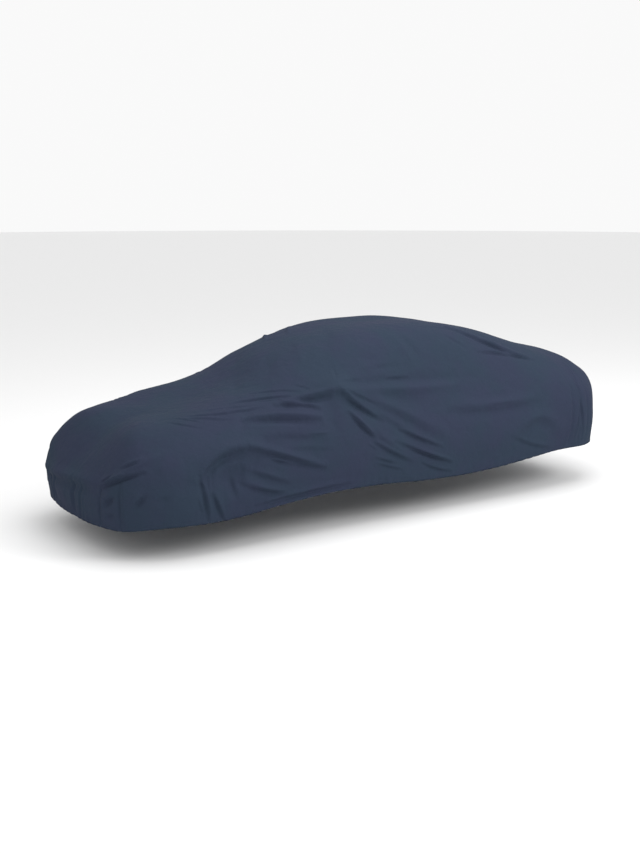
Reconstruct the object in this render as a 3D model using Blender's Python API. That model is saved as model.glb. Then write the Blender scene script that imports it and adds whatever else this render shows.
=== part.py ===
"""A fitted stretch cover for a saloon car, as one thin sheet of cloth in its draped shape.

The row frame is +X towards the tail, -Y the car's left side and +Z up. The origin is the
point under the top of the roof where the car holds the cover up. The tables give heights
above the ground, and x from a point a little ahead of the roof's top, so the finished
points are moved by ROOF_TOP_X and by the height of the cloth's underside there.

Two distances place a fold on the cloth. "around" runs along the widest line of the cover
from the middle of the nose, positive on the left side and negative on the right. "up" runs
from the hem towards the middle of the roof.
"""

import bmesh
import bpy
import numpy as np

# Driving dimensions, in metres
CLOTH_THICKNESS = 0.002
ROOF_TOP_X = 0.10
ROOF_TOP_HEIGHT = 1.497

# Mesh of the drape, and the triangles that stay in the sheet once it is thinned out
RAY_SPACING = 0.024
PROFILE_STEPS = 80
SHEET_TRIANGLES = 5000
SLOPE_STEP = 0.02

# Look of the cloth: slate navy, matt with a soft sheen
CLOTH_COLOUR = (0.048, 0.065, 0.098, 1.0)
CLOTH_ROUGHNESS = 0.8

# Each row is one ray of the drape, from the spine of the cover out to its widest line and
# down to the hem. x and y give the widest point on the left side. The insets are measured
# back from that point along the ray, and the heights are above the ground.
STATION_COLUMNS = (
    "spine_x", "x", "y", "hem_in", "hem_h", "belly_h", "shoulder_in", "shoulder_h",
    "brow_in", "brow_h",
)
STATIONS = (
    ("nose centre", -1.90, -2.55, 0.00, 0.015, 0.197, 0.46, 0.13, 0.66, 0.30, 0.82),
    ("nose flank", -1.88, -2.53, -0.40, 0.015, 0.205, 0.47, 0.11, 0.67, 0.27, 0.83),
    ("nose turn", -1.82, -2.44, -0.72, 0.015, 0.226, 0.50, 0.09, 0.70, 0.225, 0.835),
    ("front corner", -1.72, -2.22, -0.88, 0.03, 0.248, 0.48, 0.065, 0.71, 0.21, 0.84),
    ("front wing", -1.50, -1.75, -0.93, 0.03, 0.245, 0.53, 0.06, 0.79, 0.26, 0.944),
    ("cowl", -1.12, -1.20, -0.93, 0.03, 0.295, 0.57, 0.06, 0.90, 0.28, 1.05),
    ("mirror", -0.74, -0.78, -0.93, 0.03, 0.32, 0.60, 0.07, 0.96, 0.34, 1.235),
    ("front door", -0.28, -0.30, -0.93, 0.03, 0.315, 0.60, 0.09, 0.98, 0.37, 1.39),
    ("middle", 0.10, 0.10, -0.93, 0.03, 0.29, 0.60, 0.10, 0.98, 0.38, 1.436),
    ("rear door", 0.56, 0.60, -0.93, 0.03, 0.28, 0.60, 0.10, 0.97, 0.38, 1.42),
    ("rear wing", 0.98, 1.10, -0.93, 0.03, 0.31, 0.60, 0.10, 0.96, 0.36, 1.332),
    ("rear wheel", 1.28, 1.55, -0.92, 0.03, 0.35, 0.62, 0.08, 0.94, 0.30, 1.18),
    ("rear corner", 1.46, 2.04, -0.85, 0.02, 0.350, 0.62, 0.06, 0.88, 0.20, 1.02),
    ("tail turn", 1.52, 2.24, -0.68, 0.02, 0.342, 0.64, 0.05, 0.91, 0.18, 1.03),
    ("tail flank", 1.55, 2.31, -0.36, 0.03, 0.365, 0.66, 0.05, 0.94, 0.16, 1.05),
    ("tail centre", 1.56, 2.32, 0.00, 0.03, 0.37, 0.66, 0.05, 0.95, 0.16, 1.06),
)

# The spine runs along the middle of the bonnet, windscreen, roof and rear window, as (x, h).
SPINE = (
    (-1.90, 0.93),
    (-1.50, 1.015),
    (-1.20, 1.125),
    (-0.90, 1.30),
    (-0.55, 1.425),
    (-0.20, 1.482),
    (ROOF_TOP_X, ROOF_TOP_HEIGHT),
    (0.50, 1.489),
    (0.90, 1.432),
    (1.25, 1.342),
    (1.56, 1.247),
)

# Door mirrors lift the cloth like tent pegs.
MIRROR_COLUMNS = ("around", "up", "length", "height", "lift")
MIRRORS = (
    (2.56, 0.83, 0.14, 0.085, 0.056),
    (-2.56, 0.83, 0.14, 0.085, 0.052),
)
MIRROR_SHARPNESS = 1.8

# Main folds, each a soft trough (depth below 0) or ridge (depth above 0) from one end to
# the other. bow lifts its middle, and lip is the share of the depth that the cloth beside
# it rolls the other way: above the fold where lip is positive, below it where negative.
# right is the share of the depth that its twin on the right side has, 0 for no twin.
FOLD_COLUMNS = (
    "around_1", "up_1", "around_2", "up_2", "bow", "width", "depth", "lip", "right",
)
FOLDS = (
    ("bumper top", -0.62, 0.245, 0.48, 0.335, 0.01, 0.030, 0.022, -0.9, 0.0),
    ("headlight pinch", 0.47, 0.315, 0.87, 0.44, 0.015, 0.011, 0.019, -0.9, 0.2),
    ("pinch roll", 0.54, 0.36, 0.97, 0.54, 0.00, 0.024, 0.017, -0.2, 0.4),
    ("corner seam, inner", 0.48, 0.295, 0.44, 0.00, 0.00, 0.018, -0.008, 0.0, 1.0),
    ("corner seam, outer", 0.69, 0.36, 0.69, 0.00, 0.00, 0.018, -0.008, 0.0, 1.0),
    ("nose fold, middle", 0.04, 0.32, 0.01, 0.00, -0.01, 0.020, -0.016, 0.25, 0.0),
    ("nose fold, left", 0.19, 0.32, 0.12, 0.00, -0.01, 0.012, -0.010, 0.3, 0.0),
    ("nose tuck", -0.52, 0.085, -0.14, 0.03, 0.00, 0.045, -0.010, 0.0, 0.0),
    ("front arch crest", 1.25, 0.34, 1.78, 0.49, 0.11, 0.030, 0.032, -0.9, 0.9),
    ("arch hollow", 1.42, 0.32, 1.68, 0.33, 0.00, 0.120, -0.035, 0.0, 0.9),
    ("arch tail", 1.70, 0.525, 2.36, 0.235, 0.00, 0.020, 0.025, -0.8, 0.9),
    ("arch gather, fore", 1.275, 0.37, 1.345, 0.00, 0.01, 0.014, -0.018, 0.6, 0.8),
    ("arch gather, aft", 1.38, 0.22, 1.47, 0.00, 0.00, 0.014, -0.017, 0.5, 1.2),
    ("door edge fold", 1.72, 0.77, 2.34, 0.615, 0.00, 0.022, 0.028, -0.8, 0.6),
    ("wing fold", 2.03, 0.815, 2.36, 0.69, 0.015, 0.015, 0.019, -0.8, 1.1),
    ("door soft fold", 1.84, 0.538, 2.36, 0.432, 0.00, 0.026, -0.012, 0.3, 0.9),
    ("sill fold, upper", 1.70, 0.35, 2.04, 0.185, 0.00, 0.020, 0.014, -0.8, 0.9),
    ("sill fold, lower", 1.63, 0.275, 2.02, 0.105, -0.01, 0.018, 0.017, -0.9, 1.0),
    ("hem ridge", 1.75, 0.075, 2.60, 0.068, 0.00, 0.016, 0.015, -0.9, 0.8),
    ("mirror ridge, fore", 2.10, 0.815, 2.56, 0.79, 0.00, 0.022, 0.026, -0.9, 0.9),
    ("belt ridge", 2.50, 0.77, 3.75, 0.77, 0.00, 0.034, 0.024, 0.4, 1.1),
    ("door fall, top", 2.61, 0.775, 3.52, 0.385, 0.03, 0.040, 0.018, -0.8, 0.8),
    ("door fall, second", 2.57, 0.775, 3.34, 0.365, -0.01, 0.026, 0.015, -0.5, 0.9),
    ("door fall, start", 2.58, 0.775, 2.93, 0.53, -0.012, 0.015, 0.016, -0.9, 0.9),
    ("door fall, end", 3.08, 0.45, 3.50, 0.285, 0.00, 0.013, 0.015, -0.9, 0.9),
    ("door fall, third", 2.60, 0.62, 3.22, 0.19, -0.01, 0.026, 0.009, -0.3, 1.0),
    ("door fall, knee", 2.62, 0.62, 2.84, 0.395, -0.004, 0.014, 0.017, -0.9, 0.9),
    ("door fall, shin", 2.81, 0.38, 3.18, 0.195, -0.01, 0.014, 0.014, -0.9, 1.0),
    ("door fall, low", 3.03, 0.36, 3.62, 0.145, 0.00, 0.014, 0.013, -0.9, 1.1),
    ("pillar fold", 3.92, 1.33, 4.72, 0.885, -0.058, 0.016, -0.021, 0.6, 0.8),
    ("pillar fold, low", 4.09, 1.01, 4.78, 0.861, 0.01, 0.013, -0.016, 0.5, 1.2),
    ("rear shoulder", 3.62, 0.60, 4.60, 0.53, -0.01, 0.034, 0.018, -0.8, 0.9),
    ("rear arch crest", 4.28, 0.245, 4.85, 0.18, 0.15, 0.034, 0.015, -0.7, 0.9),
    ("rear arch hollow", 4.50, 0.24, 4.68, 0.24, 0.00, 0.075, -0.009, 0.0, 0.9),
    ("corner gather, fore", 4.97, 0.04, 5.03, 0.56, 0.00, 0.015, -0.013, 0.3, 0.8),
    ("corner gather, middle", 5.09, 0.04, 5.15, 0.60, 0.00, 0.015, -0.015, 0.3, 1.1),
    ("corner gather, aft", 5.21, 0.04, 5.24, 0.51, 0.00, 0.015, -0.013, 0.3, 0.7),
    ("tail fold, left", 5.72, 0.04, 5.66, 0.468, 0.01, 0.030, -0.010, 0.3, 0.9),
)

# A twin on the right side lies this much nearer the nose or the tail, in turn. The corner
# seams are sewn, so the folds this close to the nose keep their place.
TWIN_SHIFT = 0.05
SEWN_AROUND = 1.0

# How a fold fades out: the straight parts that stand in for its line, the share of the
# depth's rise at its ends, the place and spread of the rolled cloth in fold widths, and how
# much wider the fold's side away from that roll is.
LINE_STEPS = 25
END_SHARE = 0.06
END_SHARPNESS = 0.6
LIP_PLACE = 2.0
LIP_SPREAD = 1.2
SOFT_SIDE = 1.35
FOLD_REACH = 4.0


def smooth_curve(knots, values, at):
    """Catmull-Rom interpolation of rows of values over uneven knots."""
    knots = np.asarray(knots, float)
    values = np.asarray(values, float)
    slopes = np.empty_like(values)
    spans = np.diff(knots)[:, None]
    rises = np.diff(values, axis=0) / spans
    slopes[0] = rises[0]
    slopes[-1] = rises[-1]
    slopes[1:-1] = (rises[:-1] * spans[1:] + rises[1:] * spans[:-1]) / (spans[1:] + spans[:-1])
    index = np.clip(np.searchsorted(knots, at, side="right") - 1, 0, len(knots) - 2)
    span = spans[index]
    part = (at - knots[index])[:, None] / span
    square = part * part
    cube = square * part
    return (
        (2 * cube - 3 * square + 1) * values[index]
        + (cube - 2 * square + part) * span * slopes[index]
        + (3 * square - 2 * cube) * values[index + 1]
        + (cube - square) * span * slopes[index + 1]
    )


def ring_of_stations():
    """The whole ring's rows: the left side from nose to tail, then the right side back."""
    left = [row[1:] for row in STATIONS]
    right = [row[:2] + (-row[2],) + row[3:] for row in left[-2:0:-1]]
    return np.array(left + right)


def rays(spacing):
    """Station values at even steps around the ring, closed on itself."""
    rows = ring_of_stations()
    pad = 3
    looped = np.concatenate([rows[-pad:], rows, rows[: pad + 1]])
    steps = np.linalg.norm(np.diff(looped[:, 1:3], axis=0), axis=1)
    knots = np.concatenate([[0.0], np.cumsum(steps)])
    start, end = knots[pad], knots[pad + len(rows)]
    count = 2 * round((end - start) / (2 * spacing))
    at = start + (end - start) * np.arange(count) / count
    return smooth_curve(knots, looped, at)


def spine_height(x):
    rows = np.array(SPINE)
    return smooth_curve(rows[:, 0], rows[:, 1:], x)[:, 0]


def drape(spacing, steps):
    """Points of the bare drape as [ray, step from spine to hem], heights above the ground."""
    table = dict(zip(STATION_COLUMNS, rays(spacing).T))
    spine_x = table["spine_x"]
    spine_h = spine_height(spine_x)
    spine_rise = spine_height(spine_x + SLOPE_STEP) - spine_height(spine_x - SLOPE_STEP)
    reach = np.stack([table["x"] - spine_x, table["y"]], axis=1)
    length = np.linalg.norm(reach, axis=1)
    way = reach / length[:, None]
    slope = way[:, 0] * spine_rise / (2 * SLOPE_STEP)
    out = np.stack(
        [
            np.zeros_like(length),
            length - table["brow_in"],
            length - table["shoulder_in"],
            length,
            length - table["hem_in"],
        ],
        axis=1,
    )
    height = np.stack(
        [spine_h, table["brow_h"], table["shoulder_h"], table["belly_h"], table["hem_h"]],
        axis=1,
    )
    points = np.empty((len(length), steps + 1, 3))
    for i in range(len(length)):
        profile = np.stack([out[i], height[i]], axis=1)
        # A point past the spine makes the profile cross it at the spine's own slope
        brow_out, brow_height = profile[1]
        past_spine = (-brow_out, brow_height - 2 * brow_out * slope[i])
        looped = np.concatenate([[past_spine], profile])
        knots = np.concatenate([[0.0], np.cumsum(np.linalg.norm(np.diff(looped, axis=0), axis=1))])
        curve = smooth_curve(knots, looped, np.linspace(knots[1], knots[-1], steps + 1))
        points[i, :, 0] = spine_x[i] + way[i, 0] * curve[:, 0]
        points[i, :, 1] = way[i, 1] * curve[:, 0]
        points[i, :, 2] = curve[:, 1]
    return points


def cloth_places(points, spacing):
    """The distances "around" and "up" of every point of the drape."""
    belly = rays(spacing)[:, 1:3]
    steps = np.linalg.norm(np.roll(belly, -1, axis=0) - belly, axis=1)
    around = np.concatenate([[0.0], np.cumsum(steps)[:-1]])
    around = np.where(around > steps.sum() / 2, around - steps.sum(), around)
    lengths = np.linalg.norm(np.diff(points, axis=1), axis=2)
    up = np.zeros(points.shape[:2])
    up[:, :-1] = np.cumsum(lengths[:, ::-1], axis=1)[:, ::-1]
    return np.broadcast_to(around[:, None], up.shape), up


def folds_of_both_sides():
    """Every fold as a dictionary of its columns, with the right side's twins at the end."""
    folds = [dict(zip(FOLD_COLUMNS, row[1:])) for row in FOLDS]
    twins = []
    for fold in folds:
        if fold["right"] == 0:
            continue
        twin = dict(fold)
        sewn = fold["around_1"] < SEWN_AROUND
        shift = 0.0 if sewn else TWIN_SHIFT * (-1) ** len(twins)
        twin["around_1"] = -fold["around_1"] - shift
        twin["around_2"] = -fold["around_2"] - shift
        twin["depth"] = fold["depth"] * fold["right"]
        twins.append(twin)
    return folds + twins


def fold_line(fold):
    """The bowed line of a fold, as (around, up) points, and the way to its higher side."""
    run = np.array((fold["around_2"] - fold["around_1"], fold["up_2"] - fold["up_1"]))
    side = np.array((-run[1], run[0])) / np.linalg.norm(run)
    if side[1] < 0:
        side = -side
    part = np.linspace(0.0, 1.0, LINE_STEPS)[:, None]
    start = np.array((fold["around_1"], fold["up_1"]))
    return start + run * part + side * 4 * part * (1 - part) * fold["bow"], side


def pushed_by_fold(fold, around, up):
    """How far one fold pushes out each of the places given."""
    line, side = fold_line(fold)
    place = np.stack((around, up), axis=1)
    gap = place[:, None, :] - line[None, :, :]
    step = np.argmin((gap**2).sum(axis=2), axis=1)
    nearest = gap[np.arange(len(place)), step]
    along = np.gradient(line, axis=0)[step]
    along /= np.linalg.norm(along, axis=1)[:, None]
    run_out = (nearest * along).sum(axis=1)
    at_end = (step == 0) | (step == LINE_STEPS - 1)
    past_end = np.where(at_end, run_out, 0.0)
    across = (nearest * side).sum(axis=1) - run_out * (along * side).sum(axis=1)
    part = np.clip(step / (LINE_STEPS - 1), END_SHARE, 1 - END_SHARE)
    fade = np.sin(np.pi * part) ** END_SHARPNESS * np.exp(-((past_end / fold["width"]) ** 2))
    soft = np.where(across * fold["lip"] < 0, SOFT_SIDE, 1.0)
    body = np.exp(-((across / (soft * fold["width"])) ** 2))
    from_lip = across - LIP_PLACE * fold["width"] * np.sign(fold["lip"])
    roll = abs(fold["lip"]) * np.exp(-((from_lip / (LIP_SPREAD * fold["width"])) ** 2))
    return fold["depth"] * fade * (body - roll)


def fold_depth(around, up, folds):
    """How far each point of the cloth is pushed out by the folds near it."""
    pushed = np.zeros_like(around)
    for fold in folds:
        line, _ = fold_line(fold)
        reach = FOLD_REACH * fold["width"]
        low = line.min(axis=0) - reach
        high = line.max(axis=0) + reach
        near = (around > low[0]) & (around < high[0]) & (up > low[1]) & (up < high[1])
        pushed[near] += pushed_by_fold(fold, around[near], up[near])
    return pushed


def mirror_lift(around, up):
    pushed = np.zeros_like(around)
    for row in MIRRORS:
        peg = dict(zip(MIRROR_COLUMNS, row))
        far = np.hypot((around - peg["around"]) / peg["length"], (up - peg["up"]) / peg["height"])
        pushed += peg["lift"] * np.exp(-(far**MIRROR_SHARPNESS))
    return pushed


def across_spine(count):
    """For each ray, the ray on the other side that meets it at the spine."""
    return -np.arange(count) % count


def outward(points):
    """Unit normals of the drape. A spine point takes those of the two rays that meet there."""
    around = np.roll(points, -1, axis=0) - np.roll(points, 1, axis=0)
    down = np.gradient(points, axis=1)
    normals = np.cross(down, around)
    normals[:, 0] = normals[:, 1] + normals[across_spine(len(points)), 1]
    return normals / np.linalg.norm(normals, axis=2)[:, :, None]


def folded(spacing, steps):
    """The drape with its mirrors and folds, as [ray, step from spine to hem]."""
    points = drape(spacing, steps)
    around, up = cloth_places(points, spacing)
    pushed = mirror_lift(around, up) + fold_depth(around, up, folds_of_both_sides())
    pushed[:, 0] = 0.5 * (pushed[:, 0] + pushed[across_spine(len(pushed)), 0])
    return points + outward(points) * pushed[:, :, None]


def sheet_mesh(name, points):
    """A quad mesh of the rays, joined along the spine."""
    mesh = bpy.data.meshes.new(name)
    grid = bmesh.new()
    count, steps = points.shape[:2]
    partners = across_spine(count)
    verts = []
    for i in range(count):
        partner = partners[i]
        spine = verts[partner][0] if partner < i else grid.verts.new(points[i, 0])
        verts.append([spine] + [grid.verts.new(point) for point in points[i, 1:]])
    for i in range(count):
        here, ahead = verts[i], verts[(i + 1) % count]
        for j in range(steps - 1):
            grid.faces.new((here[j], here[j + 1], ahead[j + 1], ahead[j]))
    bmesh.ops.recalc_face_normals(grid, faces=grid.faces)
    grid.to_mesh(mesh)
    grid.free()
    return mesh


def cloth_material():
    material = bpy.data.materials.new("slate_navy_stretch_cloth")
    material.use_nodes = True
    shader = material.node_tree.nodes["Principled BSDF"]
    shader.inputs["Base Color"].default_value = CLOTH_COLOUR
    shader.inputs["Roughness"].default_value = CLOTH_ROUGHNESS
    shader.inputs["Metallic"].default_value = 0.0
    return material


def cover_cloth():
    """The cover: the folded sheet, thinned out where it is smooth, then given its thickness."""
    points = folded(RAY_SPACING, PROFILE_STEPS)
    points -= (ROOF_TOP_X, 0.0, ROOF_TOP_HEIGHT - CLOTH_THICKNESS)
    mesh = sheet_mesh("cover_cloth", points)
    mesh.materials.append(cloth_material())
    mesh.shade_smooth()
    cover = bpy.data.objects.new("cover_cloth", mesh)
    bpy.context.scene.collection.objects.link(cover)
    thin_out = cover.modifiers.new("thin_out", "DECIMATE")
    thin_out.ratio = SHEET_TRIANGLES / (2 * len(mesh.polygons))
    wall = cover.modifiers.new("cloth_thickness", "SOLIDIFY")
    wall.thickness = CLOTH_THICKNESS
    wall.offset = -1.0


def main():
    for obj in list(bpy.data.objects):
        bpy.data.objects.remove(obj)
    cover_cloth()


if __name__ == "__main__":
    main()
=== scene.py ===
"""Looks of a fitted stretch cover for a saloon car, as an add-on that is run as a script.

The cloth is one thin sheet in its draped shape, with its main folds, the finer creases
between them, a gathered hem and its stitching. The row frame is +X towards the tail, -Y the
left side and +Z up, and the origin is under the top of the roof. The tables give heights
above the ground, and x from a point a little ahead of the roof's top.

Two distances place a fold on the cloth. "around" runs along the widest line of the cover
from the middle of the nose, positive on the left side and negative on the right. "up" runs
from the hem towards the middle of the roof.
"""

import math

import bmesh
import bpy
import numpy as np
from bpy.props import FloatProperty, FloatVectorProperty, IntProperty, PointerProperty
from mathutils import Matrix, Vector, kdtree
from mathutils.bvhtree import BVHTree


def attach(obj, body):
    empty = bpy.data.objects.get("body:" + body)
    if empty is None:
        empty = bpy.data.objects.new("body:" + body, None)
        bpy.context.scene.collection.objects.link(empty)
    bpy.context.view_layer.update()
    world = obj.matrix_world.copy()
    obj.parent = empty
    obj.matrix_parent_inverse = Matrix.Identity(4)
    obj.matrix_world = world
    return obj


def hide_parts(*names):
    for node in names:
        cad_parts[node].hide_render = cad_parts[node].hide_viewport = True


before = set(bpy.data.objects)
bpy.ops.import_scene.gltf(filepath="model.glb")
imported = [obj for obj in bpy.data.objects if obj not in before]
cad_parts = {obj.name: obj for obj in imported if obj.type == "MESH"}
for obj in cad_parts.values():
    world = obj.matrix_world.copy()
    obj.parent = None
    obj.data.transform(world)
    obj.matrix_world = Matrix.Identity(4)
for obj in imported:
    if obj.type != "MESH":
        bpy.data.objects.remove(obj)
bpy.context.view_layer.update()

bl_info = {
    "name": "Fitted car cover",
    "version": (1, 0, 0),
    "blender": (4, 5, 0),
    "location": "3D View > Sidebar > Car cover",
    "description": "Builds a fitted stretch car cover with its folds, gathered hem and stitching",
    "category": "Add Mesh",
}

CAD_NODE = "cover_cloth"

# The origin in the tables' own x and height, and half the step that the spine's slope is
# measured over
ROOF_TOP_X = 0.10
ROOF_TOP_HEIGHT = 1.497
SLOPE_STEP = 0.02

# Each row is one ray of the drape, from the spine of the cover out to its widest line and
# down to the hem. x and y give the widest point on the left side. The insets are measured
# back from that point along the ray, and the heights are above the ground.
STATION_COLUMNS = (
    "spine_x", "x", "y", "hem_in", "hem_h", "belly_h", "shoulder_in", "shoulder_h",
    "brow_in", "brow_h",
)
STATIONS = (
    ("nose centre", -1.90, -2.55, 0.00, 0.015, 0.197, 0.46, 0.13, 0.66, 0.30, 0.82),
    ("nose flank", -1.88, -2.53, -0.40, 0.015, 0.205, 0.47, 0.11, 0.67, 0.27, 0.83),
    ("nose turn", -1.82, -2.44, -0.72, 0.015, 0.226, 0.50, 0.09, 0.70, 0.225, 0.835),
    ("front corner", -1.72, -2.22, -0.88, 0.03, 0.248, 0.48, 0.065, 0.71, 0.21, 0.84),
    ("front wing", -1.50, -1.75, -0.93, 0.03, 0.245, 0.53, 0.06, 0.79, 0.26, 0.944),
    ("cowl", -1.12, -1.20, -0.93, 0.03, 0.295, 0.57, 0.06, 0.90, 0.28, 1.05),
    ("mirror", -0.74, -0.78, -0.93, 0.03, 0.32, 0.60, 0.07, 0.96, 0.34, 1.235),
    ("front door", -0.28, -0.30, -0.93, 0.03, 0.315, 0.60, 0.09, 0.98, 0.37, 1.39),
    ("middle", 0.10, 0.10, -0.93, 0.03, 0.29, 0.60, 0.10, 0.98, 0.38, 1.436),
    ("rear door", 0.56, 0.60, -0.93, 0.03, 0.28, 0.60, 0.10, 0.97, 0.38, 1.42),
    ("rear wing", 0.98, 1.10, -0.93, 0.03, 0.31, 0.60, 0.10, 0.96, 0.36, 1.332),
    ("rear arch", 1.28, 1.55, -0.92, 0.03, 0.35, 0.62, 0.08, 0.94, 0.30, 1.18),
    ("rear corner", 1.46, 2.04, -0.85, 0.02, 0.35, 0.62, 0.06, 0.88, 0.20, 1.02),
    ("tail turn", 1.52, 2.24, -0.68, 0.02, 0.342, 0.64, 0.05, 0.91, 0.18, 1.03),
    ("tail flank", 1.55, 2.31, -0.36, 0.03, 0.365, 0.66, 0.05, 0.94, 0.16, 1.05),
    ("tail centre", 1.56, 2.32, 0.00, 0.03, 0.37, 0.66, 0.05, 0.95, 0.16, 1.06),
)

# The spine runs along the middle of the cover, over the bonnet, the roof and the tail, as
# (x, height above the ground).
SPINE = (
    (-1.90, 0.93),
    (-1.50, 1.015),
    (-1.20, 1.125),
    (-0.90, 1.30),
    (-0.55, 1.425),
    (-0.20, 1.482),
    (ROOF_TOP_X, ROOF_TOP_HEIGHT),
    (0.50, 1.489),
    (0.90, 1.432),
    (1.25, 1.342),
    (1.56, 1.247),
)

# The mirror bumps, where the cloth is lifted as if by tent pegs
MIRROR_COLUMNS = ("around", "up", "length", "height", "lift")
MIRRORS = (
    (2.56, 0.83, 0.14, 0.085, 0.056),
    (-2.56, 0.83, 0.14, 0.085, 0.052),
)
MIRROR_SHARPNESS = 1.8

# Folds, each a soft trough (depth below 0) or ridge (depth above 0) from one end to the
# other. bow lifts its middle, and lip is the share of the depth that the cloth beside it
# rolls the other way: above the fold where lip is positive, below it where negative.
# right is the share of the depth that its twin on the right side has, 0 for no twin.
FOLD_COLUMNS = (
    "around_1", "up_1", "around_2", "up_2", "bow", "width", "depth", "lip", "right",
)
MAIN_FOLDS = (
    ("bumper top", -0.62, 0.245, 0.48, 0.335, 0.01, 0.030, 0.022, -0.9, 0.0),
    ("headlight pinch", 0.47, 0.315, 0.87, 0.44, 0.015, 0.011, 0.019, -0.9, 0.2),
    ("pinch roll", 0.54, 0.36, 0.97, 0.54, 0.00, 0.024, 0.017, -0.2, 0.4),
    ("corner seam, inner", 0.48, 0.295, 0.44, 0.00, 0.00, 0.010, -0.013, 0.0, 1.0),
    ("corner seam, outer", 0.69, 0.36, 0.69, 0.00, 0.00, 0.010, -0.013, 0.0, 1.0),
    ("nose fold, middle", 0.04, 0.32, 0.01, 0.00, -0.01, 0.020, -0.016, 0.25, 0.0),
    ("nose fold, left", 0.19, 0.32, 0.12, 0.00, -0.01, 0.012, -0.010, 0.3, 0.0),
    ("nose tuck", -0.52, 0.085, -0.14, 0.03, 0.00, 0.045, -0.010, 0.0, 0.0),
    ("front arch crest", 1.25, 0.34, 1.78, 0.49, 0.11, 0.030, 0.032, -0.9, 0.9),
    ("arch hollow", 1.42, 0.32, 1.68, 0.33, 0.00, 0.120, -0.035, 0.0, 0.9),
    ("arch tail", 1.70, 0.525, 2.36, 0.235, 0.00, 0.020, 0.025, -0.8, 0.9),
    ("arch gather, fore", 1.275, 0.37, 1.345, 0.00, 0.01, 0.014, -0.018, 0.6, 0.8),
    ("arch gather, aft", 1.38, 0.22, 1.47, 0.00, 0.00, 0.014, -0.017, 0.5, 1.2),
    ("door edge fold", 1.72, 0.77, 2.34, 0.615, 0.00, 0.022, 0.028, -0.8, 0.6),
    ("wing fold", 2.03, 0.815, 2.36, 0.69, 0.015, 0.015, 0.019, -0.8, 1.1),
    ("door soft fold", 1.84, 0.538, 2.36, 0.432, 0.00, 0.026, -0.012, 0.3, 0.9),
    ("sill fold, upper", 1.70, 0.35, 2.04, 0.185, 0.00, 0.020, 0.014, -0.8, 0.9),
    ("sill fold, lower", 1.63, 0.275, 2.02, 0.105, -0.01, 0.018, 0.017, -0.9, 1.0),
    ("hem ridge", 1.75, 0.075, 2.60, 0.068, 0.00, 0.016, 0.015, -0.9, 0.8),
    ("mirror ridge, fore", 2.10, 0.815, 2.56, 0.79, 0.00, 0.022, 0.026, -0.9, 0.9),
    ("belt ridge", 2.50, 0.77, 3.75, 0.77, 0.00, 0.034, 0.024, 0.4, 1.1),
    ("door fall, top", 2.61, 0.775, 3.52, 0.385, 0.03, 0.040, 0.018, -0.8, 0.8),
    ("door fall, second", 2.57, 0.775, 3.34, 0.365, -0.01, 0.026, 0.015, -0.5, 0.9),
    ("door fall, start", 2.58, 0.775, 2.93, 0.53, -0.012, 0.015, 0.016, -0.9, 0.9),
    ("door fall, end", 3.08, 0.45, 3.50, 0.285, 0.00, 0.013, 0.015, -0.9, 0.9),
    ("door fall, third", 2.60, 0.62, 3.22, 0.19, -0.01, 0.026, 0.009, -0.3, 1.0),
    ("door fall, knee", 2.62, 0.62, 2.84, 0.395, -0.004, 0.014, 0.017, -0.9, 0.9),
    ("door fall, shin", 2.81, 0.38, 3.18, 0.195, -0.01, 0.014, 0.014, -0.9, 1.0),
    ("door fall, low", 3.03, 0.36, 3.62, 0.145, 0.00, 0.014, 0.013, -0.9, 1.1),
    ("pillar fold", 3.92, 1.33, 4.72, 0.885, -0.058, 0.016, -0.021, 0.6, 0.8),
    ("pillar fold, low", 4.09, 1.01, 4.78, 0.861, 0.01, 0.013, -0.016, 0.5, 1.2),
    ("rear shoulder", 3.62, 0.60, 4.60, 0.53, -0.01, 0.034, 0.018, -0.8, 0.9),
    ("rear arch crest", 4.28, 0.245, 4.85, 0.18, 0.15, 0.034, 0.015, -0.7, 0.9),
    ("rear arch hollow", 4.50, 0.24, 4.68, 0.24, 0.00, 0.075, -0.009, 0.0, 0.9),
    ("corner gather, fore", 4.97, 0.04, 5.03, 0.56, 0.00, 0.015, -0.013, 0.3, 0.8),
    ("corner gather, middle", 5.09, 0.04, 5.15, 0.60, 0.00, 0.015, -0.015, 0.3, 1.1),
    ("corner gather, aft", 5.21, 0.04, 5.24, 0.51, 0.00, 0.015, -0.013, 0.3, 0.7),
    ("tail fold, left", 5.72, 0.04, 5.66, 0.468, 0.01, 0.030, -0.010, 0.3, 0.9),
)

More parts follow.
